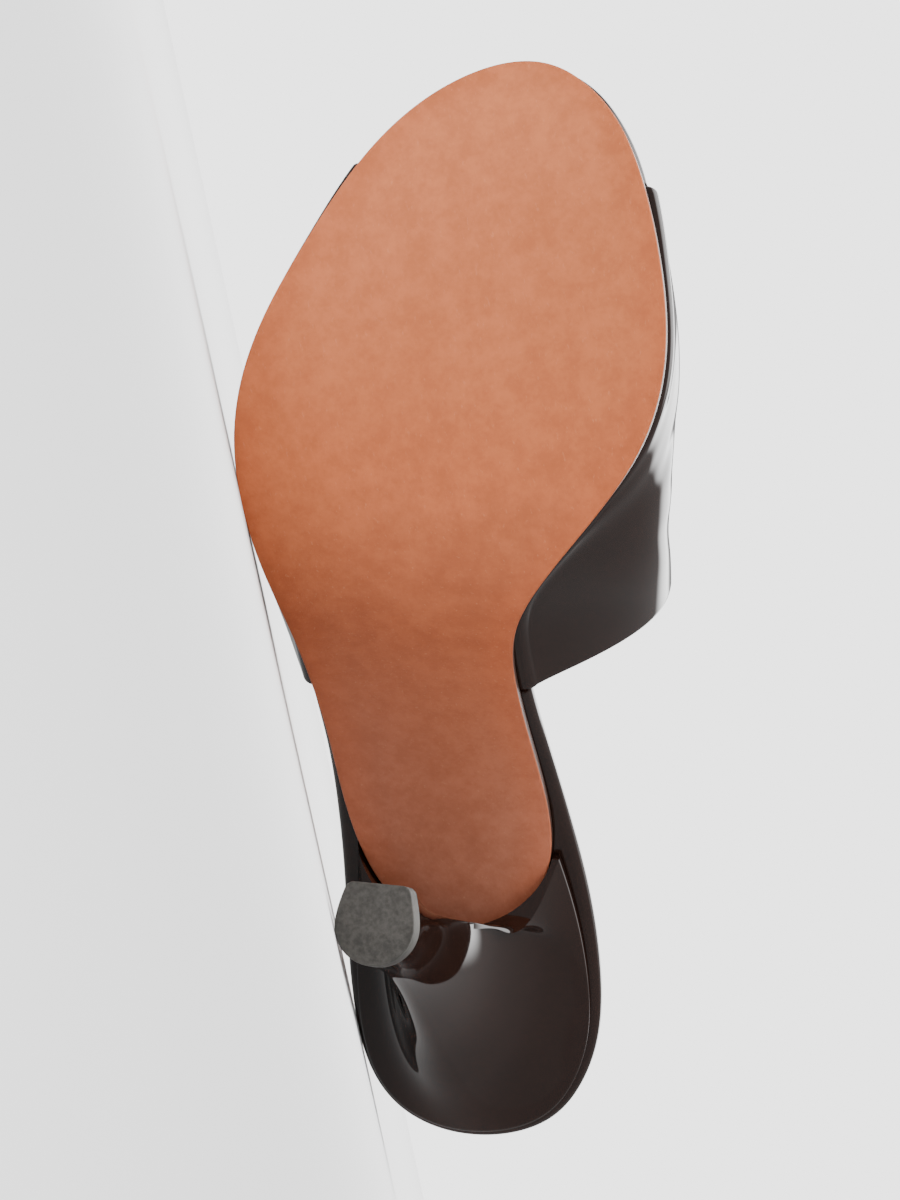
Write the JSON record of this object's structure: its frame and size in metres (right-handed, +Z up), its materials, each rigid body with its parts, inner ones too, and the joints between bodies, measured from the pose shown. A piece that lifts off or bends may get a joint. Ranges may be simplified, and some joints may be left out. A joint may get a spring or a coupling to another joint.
{
  "type": "heeled sandal",
  "caption": "Open-toe high-heeled mule with a wide one-piece vamp, wrapped insole, tan leather outsole and flared covered heel; right shoe lying on its outer side.",
  "frame": {"origin": "centre of the bounding box on the surface that the shoe lies on", "axes": "+Z up; +X from the toe to the heel, the longest way; -Y the way the underside of the sole looks"},
  "size_m": [0.1964, 0.1026, 0.0887],
  "materials": {
    "sole_leather": "smooth matt",
    "patent_leather": "high gloss patent",
    "heel_rubber": "matt"
  },
  "bodies": {
    "root": {"outsole": "sole_leather", "insole": "patent_leather", "vamp": "patent_leather", "heel": "patent_leather", "top_piece": "heel_rubber"}
  },
  "joints": []
}
